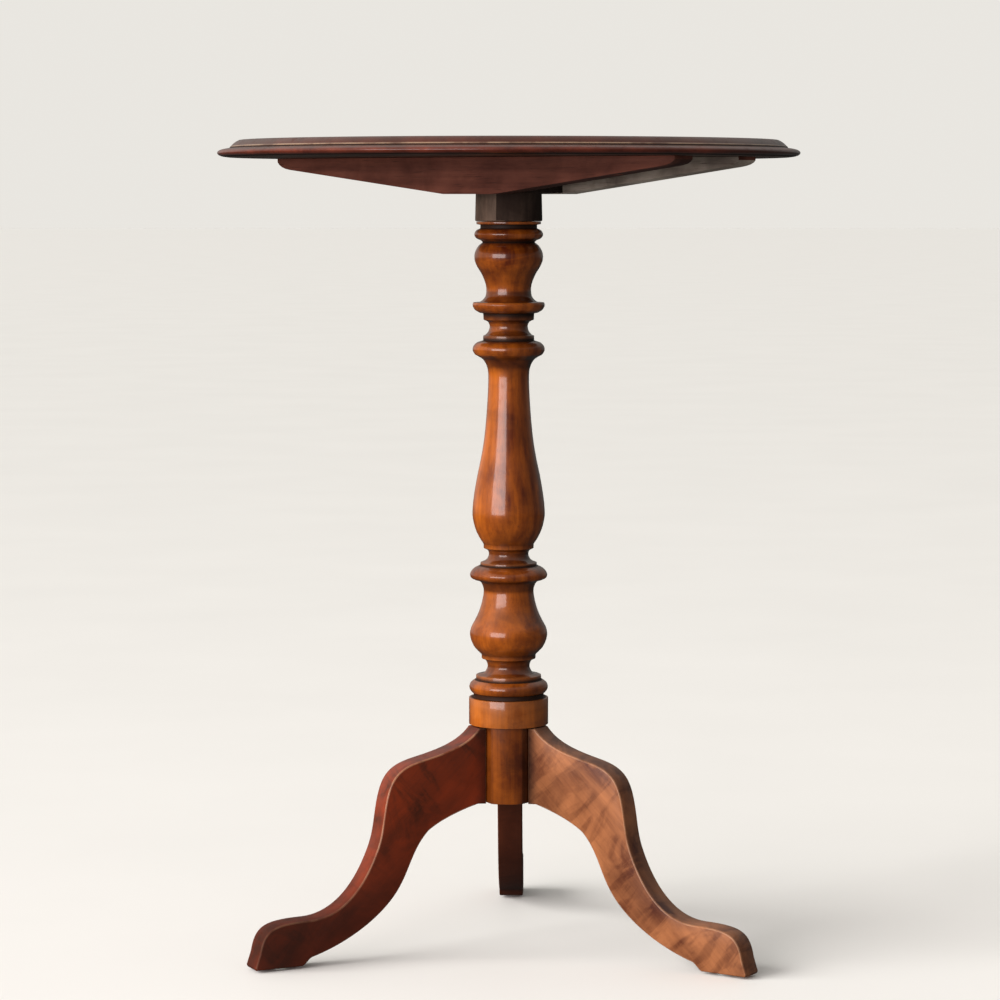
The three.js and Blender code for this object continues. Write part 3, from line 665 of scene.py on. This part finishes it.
# ---- the top ----
def top_outline(radius):
    """The moulded edge, from the middle of the underside to the middle of the top, in millimetres."""
    low, high = TOP_LOW.z / MM, TOP_HIGH.z / MM
    rim = radius / MM
    edge = [(0, low), (rim * 0.5, low), (rim - 9, low)]
    nose = flowing([(rim - 5, low + 0.5), (rim - 1.8, low + 1.6), (rim - 0.2, low + 3.4),
                    (rim - 0.9, low + 5.2), (rim - 3.6, low + 6.6), (rim - 7.8, low + 7.5),
                    (rim - 10.4, low + 7.9)], 5)
    slope = [(rim - 11, low + 8.2), (rim - 11.6, low + 9.4)]
    slope += flowing([(rim - 12.2, low + 9.7), (rim - 14.2, low + 11.7), (rim - 16.8, low + 13.6),
                      (rim - 18.4, high - 0.6)], 5)
    return edge + nose + slope + [(rim - 19.4, high - 0.05), (rim * 0.5, high), (0, high)]


# Bands of the moulding, in millimetres in from the rim and up from the underside.
# The fillet band is painted pale as a highlight; the quirk band and the lip are darkened as painted shade;
# the underside is painted pale for the light it reflects.
FILLET_IN, FILLET_UP = (10.9, 12.4), (8.6, 10.1)
QUIRK_IN, QUIRK_UP = (8.6, 11.3), (7.4, 8.5)
LIP_IN, LIP_TOP, LIP_SHADE = (3.6, 7.0), 1.4, 0.9
BARE_IN, BARE_TOP = 7.5, 0.3


def within(value, band):
    return band[0] < value < band[1]


def mark_edge(bm, radius):
    """Marks the fillet of the moulding as rubbed, which paints a highlight along it; painted shade in its
    quirk and under its lip; and the unfinished underside, painted pale for the light it reflects.
    """
    hollow, arris = bm.verts.layers.float["hollow"], bm.verts.layers.float["arris"]
    bare_and_lit = bm.verts.layers.float.new("bare_and_lit")
    for vert in bm.verts:
        vert[arris] = 0.0
        inset = (radius - vert.co.xy.length) / MM
        up = (vert.co.z - TOP_LOW.z) / MM
        if within(inset, FILLET_IN) and within(up, FILLET_UP):
            vert[arris], vert[hollow] = 1.0, 0.0
        elif within(inset, QUIRK_IN) and within(up, QUIRK_UP):
            vert[hollow] = 1.0
        elif within(inset, LIP_IN) and up < LIP_TOP:
            vert[hollow] = LIP_SHADE
        elif inset > BARE_IN and up < BARE_TOP:
            vert[bare_and_lit], vert[hollow] = 1.0, 0.0


class TABLE_OT_mould_top(bpy.types.Operator):
    """Turn the round top with its moulded edge"""

    bl_idname = "table.mould_top"
    bl_label = "Mould the top"

    def execute(self, context):
        sizes = context.scene.table_sizes
        bm = turn_bmesh(softened(top_outline(sizes.top_radius), width=0.5), steps=256)
        mark_edge(bm, sizes.top_radius)
        mark_timber(bm, TILT_AXIS, offset=(0.31, 0.02, 0.4))
        place_piece("table_top", bm, "top", ["table_top"], "top_timber", "top_wood")
        return {"FINISHED"}


# ---- the bearers and the block ----
LOOKS_THAT_WAY = 0.3


def mark_faces(bm, way, name="hollow", amount=0.8):
    """Marks the faces that look one way with painted shade, or as unfinished and painted pale for the light
    they reflect.
    """
    layer = bm.faces.layers.float.get(name) or bm.faces.layers.float.new(name)
    for face in bm.faces:
        if face.normal.dot(way) > LOOKS_THAT_WAY:
            face[layer] = amount


class TABLE_OT_shape_bearers(bpy.types.Operator):
    """Shape the two tapered bearers under the top"""

    bl_idname = "table.shape_bearers"
    bl_label = "Shape the bearers"

    def execute(self, context):
        width = context.scene.table_sizes.board_arris
        near = mark_timber(eased_node("bearer_near", width), BEARER_WAY, offset=(0.13, 0.05, 0.2))
        # Painted shade on the near bearer's lower faces.
        mark_faces(near, DOWN, amount=0.45)
        place_piece("bearer_near", near, "top", ["bearer_near"], "bearer_timber", "bearer_wood")
        far = mark_timber(eased_node("bearer_far", width), BEARER_WAY, offset=(0.09, 0.11, 1.1))
        # The far bearer's lower face and one side face are left unfinished and painted pale grey for the
        # light they reflect.
        for way in (DOWN, DOWN.cross(BEARER_WAY)):
            mark_faces(far, way, "bare_and_lit", 1.0)
        place_piece("bearer_far", far, "top", ["bearer_far"], "bearer_timber", "bearer_wood")
        return {"FINISHED"}


class TABLE_OT_make_block(bpy.types.Operator):
    """Make the block at the pillar's head, with the wedge in its tenon"""

    bl_idname = "table.make_block"
    bl_label = "Make the block"

    def execute(self, context):
        width = context.scene.table_sizes.board_arris
        block = mark_timber(eased_node("pillar_block", width), (0, 0, 1), offset=(0.06, 0.05, 0.3))
        # Painted shade on the block's face that looks along the bearers, away from the light.
        mark_faces(block, BEARER_WAY)
        place_piece("pillar_block", block, "base", ["pillar_block"], "block_timber", "block_wood")
        wedge = mark_timber(eased_node("block_wedge", 0.2 * MM), (0, 0, 1), offset=(0.03, 0.09, 0.7))
        place_piece("block_wedge", wedge, "base", ["block_wedge"], "pillar_timber", "pillar_wood")
        return {"FINISHED"}


# ---- the pillar ----
COLLAR_RADIUS = 35.2
HUB_RADIUS = 33.5
HUB_FLAT = 27.0
HUB_TOP = 199.8
TENON_RADIUS = 16.0
TENON_FOOT = 645.0
KERF = 3.2
KERF_DEPTH = 26.0
HUB_EASE = 0.8
HUB_OVERLAP = 0.5
TENON_OVERLAP = 0.2
# Painted shade darkens the hub, most of all on the flats beside the legs, and the collar up to its upper
# quirk.
HUB_SHADE = 0.62
COLLAR_SHADE = 0.42
COLLAR_QUIRK = 242.0


def pillar_outline():
    """The turning from the collar up to the tenon, in millimetres."""
    top = PILLAR_HIGH.z / MM
    collar = [(0, HUB_TOP), (COLLAR_RADIUS, HUB_TOP), (COLLAR_RADIUS, 223.5), (31.2, 224), (31.2, 227.5)]
    base_ring = flowing([(32.6, 228.1), (34.3, 230.5), (34.9, 233.3), (33.8, 236.4), (31, 238.7),
                         (28.9, 239.7)], 4)
    lower_cove = flowing([(22.6, 244.6), (20.4, 246.8), (18.6, 251.4), (20.2, 256.4), (24, 258.5)], 5)
    lower_vase = flowing([(24.4, 262.3), (27.3, 265.2), (30.6, 268.9), (33.4, 275), (34.3, 280.6),
                          (33, 286.4), (29.4, 293.3), (26, 300.9), (23.3, 310.2), (22.1, 319.2),
                          (24.2, 325.8), (27.4, 328.1)], 6)
    third_ring = flowing([(30.4, 328.8), (33.4, 330.5), (34.2, 333.5), (32.7, 336.7), (29.6, 339.4),
                          (25, 341.4)], 4)
    upper_cove = flowing([(21.8, 345), (19, 347.3), (17.5, 351.4), (18.6, 354.8), (22.2, 356.8)], 5)
    long_vase = flowing([(22.8, 361.2), (26.2, 366.6), (29.6, 374.3), (31.7, 383.2), (32, 390.2),
                         (30.9, 402.1), (28, 419.6), (24.2, 437.9), (21.4, 455.8), (19.4, 477.7),
                         (18.1, 501.5), (18.5, 515), (22, 523), (26.8, 526.6)], 7)
    second_ring = flowing([(29.6, 528), (31.3, 530.6), (31.8, 533), (31, 535.8), (28.4, 538.5),
                           (25.4, 539.7)], 4)
    neck_cove = flowing([(20.6, 545.5), (18, 548.5), (16.8, 553.1), (18.4, 557), (22.2, 558.8)], 5)
    first_ring = flowing([(25.8, 565), (29.4, 567.2), (31.3, 569.8), (31.9, 571.9)], 4)
    upper_vase = flowing([(23.2, 575.9), (20.5, 579.5), (19.7, 585.5), (20.7, 591.4), (23.8, 599),
                          (27.8, 605.6), (30.1, 611.9), (29.7, 618.1), (26.6, 623.7), (22.8, 626.8)], 6)
    top_bead = flowing([(24.6, 628.6), (28.6, 630.4), (30.3, 633.7), (28.6, 637.2), (25, 639)], 4)
    return (collar + base_ring + [(28.9, 243.6)] + lower_cove + [(24, 261.8)] + lower_vase + third_ring
            + [(25, 343.9)] + upper_cove + [(22.2, 360.4)] + long_vase + second_ring
            + [(22.5, 540.5), (22.5, 544.8)] + neck_cove + [(22.5, 564.4)] + first_ring
            + [(31.3, 574.1), (25.4, 574.5)] + upper_vase + top_bead
            + [(24.9, 642.1), (28.4, 642.7), (28.4, TENON_FOOT), (TENON_RADIUS, TENON_FOOT),
               (TENON_RADIUS, top - KERF_DEPTH), (0, top - KERF_DEPTH)])


def tenon_half(side):
    """One half of the tenon's head seen from above, beside the kerf that takes the wedge."""
    spread = math.acos(KERF / 2 / TENON_RADIUS)
    start = BEARER_TURN + (0.0 if side > 0 else math.pi)
    half = 12
    angles = [start + spread * (i / half - 1) for i in range(2 * half + 1)]
    return [(TENON_RADIUS * MM * math.cos(a), TENON_RADIUS * MM * math.sin(a)) for a in angles]


def hub_shade(place):
    """How much painted shade darkens a place of the hub: most on the flats beside the legs."""
    spokes = [Vector((math.cos(turn), math.sin(turn))) for turn in LEG_TURNS.values()]
    return 1.0 if max(place.xy.dot(spoke) for spoke in spokes) > (HUB_FLAT - HUB_EASE) * MM else HUB_SHADE


def hub_outline():
    """The hub seen from above: round between the legs, with a flat and a dovetail housing for each."""
    radius, flat = HUB_RADIUS * MM, HUB_FLAT * MM
    half = math.acos(flat / radius)
    depth, neck, width = 12.3 * MM, 5.3 * MM, 7.8 * MM
    notch = [(flat, -neck), (flat - depth, -width), (flat - depth, width), (flat, neck)]
    places = sorted(turn % (2 * math.pi) for turn in LEG_TURNS.values())
    outline = []
    for place, following in zip(places, places[1:] + [places[0] + 2 * math.pi]):
        turn = Matrix.Rotation(place, 2)
        outline += [tuple(turn @ Vector(p)) for p in notch]
        start, end = place + half, following - half
        arcs = 14
        for i in range(arcs + 1):
            angle = start + (end - start) * i / arcs
            outline.append((radius * math.cos(angle), radius * math.sin(angle)))
    return outline


class TABLE_OT_turn_pillar(bpy.types.Operator):
    """Turn the pillar, and cut its hub for the legs"""

    bl_idname = "table.turn_pillar"
    bl_label = "Turn the pillar"

    def execute(self, context):
        bm = turn_bmesh(softened(pillar_outline(), width=0.45), steps=144)
        hub = column_bmesh(hub_outline(), PILLAR_LOW.z, (HUB_TOP + HUB_OVERLAP) * MM)
        ends = [e for e in hub.edges if all(abs(v.co.z - PILLAR_LOW.z) < CLOSE for v in e.verts)]
        ease_edges(hub, ends, HUB_EASE * MM, segments=2)
        # No hand reaches the hub's lower end, so its softened rim isn't rubbed.
        hub.faces.layers.float.remove(hub.faces.layers.float["arris"])
        add_bmesh(bm, mark_painted_shade(hub, hub_shade))
        kerf_foot = PILLAR_HIGH.z - (KERF_DEPTH + TENON_OVERLAP) * MM
        for side in (-1, 1):
            add_bmesh(bm, column_bmesh(tenon_half(side), kerf_foot, PILLAR_HIGH.z))
        # The collar, up to its upper quirk, gets painted shade too.
        recess = bm.verts.layers.float["recess"]
        for vert in bm.verts:
            if (HUB_TOP + 1) * MM < vert.co.z < COLLAR_QUIRK * MM:
                vert[recess] = max(vert[recess], COLLAR_SHADE)
        mark_timber(bm, (0, 0, 1), offset=(0.045, 0.03, 0))
        place_piece("pillar", bm, "base", ["pillar"], "pillar_timber", "pillar_wood", smooth=30)
        return {"FINISHED"}


# ---- legs and glides ----
LEG_ROOT = 131.0
LEG_HEAD = HUB_TOP - 1
FOOT_RADIUS = 248.0
FOOT_HEEL = 204.3
TAIL_FOOT = 134.0
TAIL_HEAD = 190.0
TAIL_DEPTH = 12.0
TAIL_WIDTH = 15.0
TAIL_NECK = 10.0
TAIL_OVERLAP = 1.0
JOINT_GAP = 0.3


def leg_outline():
    """The side of a leg, in millimetres out from the pillar's axis and up."""
    foot = GLIDE_HIGH / MM + JOINT_GAP
    shoulder = HUB_FLAT + JOINT_GAP
    line = [(shoulder, LEG_ROOT), (shoulder, LEG_HEAD), (shoulder + 7, LEG_HEAD)]
    line += bezier(line[-1], (46, 184), (68, 179), (90, 174), 14)
    line += bezier(line[-1], (112, 169), (119, 161), (123.5, 143), 14)
    line += bezier(line[-1], (128, 124), (127, 112), (134, 96), 10)
    line += bezier(line[-1], (148, 62), (169, 42.5), (196, 41.8), 18)
    line += bezier(line[-1], (231, 41.5), (240, 38), (244, 16), 14)
    line += [(FOOT_RADIUS, foot + 2), (FOOT_RADIUS - 1, foot), (FOOT_HEEL, foot)]
    line += bezier(line[-1], (201, foot + 1), (199, foot + 5), (FOOT_HEEL - 9, foot + 7), 5)
    line += bezier(line[-1], (163, 18), (128, 38), (112, 63), 20)
    line += bezier(line[-1], (101, 80), (99, 96), (84, 111), 12)
    line += bezier(line[-1], (74, 119), (53, 127), (shoulder + 8, LEG_ROOT + 0.5), 12)
    return line


def leg_bmesh(sizes):
    """A leg along X with its long edges softened, and the dovetail at its root."""
    outline = [(out * MM, up * MM) for out, up in leg_outline()]
    bm = slab_bmesh(outline, sizes.leg_thickness)
    rims = [e for e in bm.edges if abs(abs(sum(v.co.y for v in e.verts)) - sizes.leg_thickness) < CLOSE]
    ease_edges(bm, rims, sizes.leg_arris, segments=3)
    inner, outer = (HUB_FLAT - TAIL_DEPTH) * MM, (HUB_FLAT + TAIL_OVERLAP) * MM
    width, neck = TAIL_WIDTH / 2 * MM, TAIL_NECK / 2 * MM
    tail = [(inner, -width), (outer, -neck), (outer, neck), (inner, width)]
    return add_bmesh(bm, column_bmesh(tail, TAIL_FOOT * MM, TAIL_HEAD * MM))


class TABLE_OT_shape_legs(bpy.types.Operator):
    """Shape the three legs and their feet"""

    bl_idname = "table.shape_legs"
    bl_label = "Shape the legs"

    def execute(self, context):
        grain = (0.72, 0, -0.70)
        offsets = {"left": (0.07, 0.16, 0.1), "right": (0.05, 0.10, 0.9), "back": (0.08, 0.13, 1.7)}
        for side in LEGS:
            bm = leg_bmesh(context.scene.table_sizes)
            mark_timber(bm, grain, offsets[side])
            turn = Matrix.Rotation(LEG_TURNS[side], 3, "Z")
            bmesh.ops.rotate(bm, verts=bm.verts, cent=(0, 0, 0), matrix=turn)
            name = "leg_" + side
            place_piece(name, bm, "base", [name], side + "_leg_timber", "leg_wood", smooth=30)
        return {"FINISHED"}


class TABLE_OT_fit_glides(bpy.types.Operator):
    """Fit the pads under the feet"""

    bl_idname = "table.fit_glides"
    bl_label = "Fit the glides"

    def execute(self, context):
        for side in LEGS:
            name = "glide_" + side
            low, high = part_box(name)
            radius, height = (high.x - low.x) / 2 / MM, high.z / MM
            outline = [(0, 0), (radius - 1, 0), (radius - 0.2, 0.8), (radius - 0.2, height - 0.4),
                       (radius - 0.5, height), (0, height)]
            bm = turn_bmesh(softened(outline, width=0.4), steps=64)
            place = middle(name)
            bmesh.ops.translate(bm, verts=bm.verts, vec=(place.x, place.y, 0))
            place_piece(name, bm, "base", [name], "glide_pad", "glide")
        return {"FINISHED"}


# ---- screws, pins and the catch ----
class TABLE_OT_drive_screws(bpy.types.Operator):
    """Drive the screws of the bearers, the catch and its strike plate"""

    bl_idname = "table.drive_screws"
    bl_label = "Drive the screws"

    def execute(self, context):
        width = 0.15 * MM
        for node in sorted(frame["nodes"]):
            if "screw" not in node:
                continue
            body = "base" if node.startswith("strike") else "top"
            finish = ("aged_iron", "steel") if node.startswith("bearer") else ("aged_brass", "brass")
            place_piece(node, eased_node(node, width), body, [node], *finish)
        return {"FINISHED"}


class TABLE_OT_fit_pins(bpy.types.Operator):
    """Fit the two pins that the top tilts on"""

    bl_idname = "table.fit_pins"
    bl_label = "Fit the pivot pins"

    def execute(self, context):
        for node in ("pivot_pin_near", "pivot_pin_far"):
            place_piece(node, eased_node(node, 0.6 * MM), "top", [node], "aged_iron", "steel")
        return {"FINISHED"}


class TABLE_OT_fit_catch(bpy.types.Operator):
    """Fit the catch under the top and its strike plate on the block"""

    bl_idname = "table.fit_catch"
    bl_label = "Fit the catch"

    def execute(self, context):
        width = context.scene.table_sizes.metal_arris
        bodies = {"latch_case": "top", "latch_bolt": "bolt", "latch_knob": "bolt", "strike_plate": "base",
                  "latch_spring": "top"}
        for node, body in bodies.items():
            bm = node_bmesh(node) if node in ("latch_spring", "latch_knob") else eased_node(node, width)
            finish = ("aged_iron", "steel") if node == "latch_spring" else ("aged_brass", "brass")
            place_piece(node, bm, body, [node], *finish)
        return {"FINISHED"}


# ---- the stage ----
# How bright the surround is on each side, below the horizon for soft and for glossy light, and in view.
LEFT_GLOW = 0.46
RIGHT_GLOW = 0.11
BACK_GLOW = 0.10
TOP_GLOW = 0.36
FLOOR_BOUNCE = 0.42
FLOOR_GLOSS = 0.05
BACKDROP = 0.817


def make_floor(colour):
    """A wide pale floor that only the camera sees, and that takes the table's shadow."""
    bm = bmesh.new()
    bmesh.ops.create_circle(bm, cap_ends=True, segments=96, radius=70)
    mesh = bpy.data.meshes.new("floor")
    bm.to_mesh(mesh)
    bm.free()
    tree, shader = new_material("pale_floor")
    vector = add_node(tree, "ShaderNodeTexCoord").outputs["Object"]
    cloudy = noise(tree, vector, 3, 3, 0.5)
    shades = [tuple(c * k for c in colour) + (1,) for k in (0.97, 1.03)]
    tree.links.new(blend_colours(tree, cloudy, *shades), shader.inputs["Base Color"])
    shader.inputs["Roughness"].default_value = 0.55
    mesh.materials.append(bpy.data.materials["pale_floor"])
    floor = bpy.data.objects.new("floor", mesh)
    floor.visible_glossy = False
    floor.visible_diffuse = False
    bpy.context.scene.collection.objects.link(floor)


def make_light(name, place, aim, width, height, power, colour):
    """A panel of light, like a window, that the camera doesn't see."""
    light = bpy.data.lights.new(name, "AREA")
    light.shape = "RECTANGLE"
    light.size, light.size_y = width, height
    light.energy = power
    light.color = colour
    lamp = bpy.data.objects.new(name, light)
    lamp.location = place
    lamp.rotation_euler = (Vector(aim) - Vector(place)).to_track_quat("-Z", "Y").to_euler()
    lamp.visible_camera = False
    bpy.context.scene.collection.objects.link(lamp)


def make_sun(name, toward, strength, spread, colour):
    """Daylight from one side, spread over many degrees, as through a large window."""
    light = bpy.data.lights.new(name, "SUN")
    light.energy = strength
    light.angle = math.radians(spread)
    light.color = colour
    lamp = bpy.data.objects.new(name, light)
    lamp.rotation_euler = Vector(toward).to_track_quat("Z", "Y").to_euler()
    lamp.visible_glossy = False
    bpy.context.scene.collection.objects.link(lamp)


def make_world():
    """A pale surround that lights the table softly, and stands in for the light off the floor."""
    world = bpy.data.worlds.new("studio")
    world.use_nodes = True
    bpy.context.scene.world = world
    tree = world.node_tree
    background = tree.nodes["Background"]
    direction = add_node(tree, "ShaderNodeTexCoord").outputs["Generated"]
    split = add_node(tree, "ShaderNodeSeparateXYZ", {"Vector": direction})
    sideways = ranged(tree, split.outputs["X"], -0.9, 0.3, LEFT_GLOW, RIGHT_GLOW)
    behind = ranged(tree, split.outputs["Y"], 0.1, 0.8, 0.0, BACK_GLOW)
    above = ranged(tree, split.outputs["Z"], 0.2, 0.75, 0.0, TOP_GLOW)
    glow = plus(tree, plus(tree, sideways, behind), above)
    path = add_node(tree, "ShaderNodeLightPath").outputs
    bounce = ranged(tree, path["Is Glossy Ray"], 0.0, 1.0, FLOOR_BOUNCE, FLOOR_GLOSS)
    below = ranged(tree, split.outputs["Z"], -0.12, 0.02, 1.0, 0.0)
    glow = plus(tree, times(tree, glow, minus(tree, 1.0, below)), times(tree, below, bounce))
    seen = path["Is Camera Ray"]
    strength = plus(tree, times(tree, glow, minus(tree, 1.0, seen)), times(tree, seen, BACKDROP))
    background.inputs["Color"].default_value = (1.0, 0.972, 0.917, 1)
    tree.links.new(strength, background.inputs["Strength"])


def make_camera(settings):
    data = bpy.data.cameras.new("camera")
    data.lens = settings.camera_lens
    data.sensor_width = 36
    camera = bpy.data.objects.new("camera", data)
    camera.location = (settings.camera_side, -settings.camera_distance, settings.camera_height)
    camera.rotation_euler = (math.pi / 2 - settings.camera_pitch, 0, -settings.camera_yaw)
    bpy.context.scene.collection.objects.link(camera)
    bpy.context.scene.camera = camera


class TABLE_OT_set_stage(bpy.types.Operator):
    """Lay the floor, and set the lights and the camera"""

    bl_idname = "table.set_stage"
    bl_label = "Set the stage"

    def execute(self, context):
        scene = context.scene
        scene.view_settings.view_transform = "Standard"
        make_materials(scene.table_colours)
        make_camera(scene.table_stage)
        make_floor(scene.table_colours.floor)
        make_world()
        make_light("window", place=(-2.3, -3.4, 1.1), aim=(0, 0, 0.4), width=3.4, height=1.9,
                   power=135, colour=(1.0, 0.89, 0.88))
        make_sun("daylight", toward=(-0.88, -0.30, 0.42), strength=4.4, spread=44,
                 colour=(1.0, 0.97, 0.93))
        return {"FINISHED"}


# ---- panel and registration ----
STEPS = (TABLE_OT_set_stage, TABLE_OT_mould_top, TABLE_OT_shape_bearers, TABLE_OT_make_block,
         TABLE_OT_turn_pillar, TABLE_OT_shape_legs, TABLE_OT_fit_glides, TABLE_OT_drive_screws,
         TABLE_OT_fit_pins, TABLE_OT_fit_catch)


class TABLE_PT_steps(bpy.types.Panel):
    """The steps that build the table"""

    bl_idname = "TABLE_PT_steps"
    bl_label = "Tilt Top Table"
    bl_space_type = "VIEW_3D"
    bl_region_type = "UI"
    bl_category = "Table"

    def draw(self, context):
        column = self.layout.column()
        for step in STEPS:
            column.operator(step.bl_idname)


CLASSES = (TableSizes, TableColours, StageSettings, *STEPS, TABLE_PT_steps)


def register():
    for cls in CLASSES:
        bpy.utils.register_class(cls)
    bpy.types.Scene.table_sizes = bpy.props.PointerProperty(type=TableSizes)
    bpy.types.Scene.table_colours = bpy.props.PointerProperty(type=TableColours)
    bpy.types.Scene.table_stage = bpy.props.PointerProperty(type=StageSettings)


def unregister():
    del bpy.types.Scene.table_stage
    del bpy.types.Scene.table_colours
    del bpy.types.Scene.table_sizes
    for cls in reversed(CLASSES):
        bpy.utils.unregister_class(cls)


def main():
    register()
    for step in STEPS:
        group, name = step.bl_idname.split(".")
        getattr(getattr(bpy.ops, group), name)()


if __name__ == "__main__":
    main()
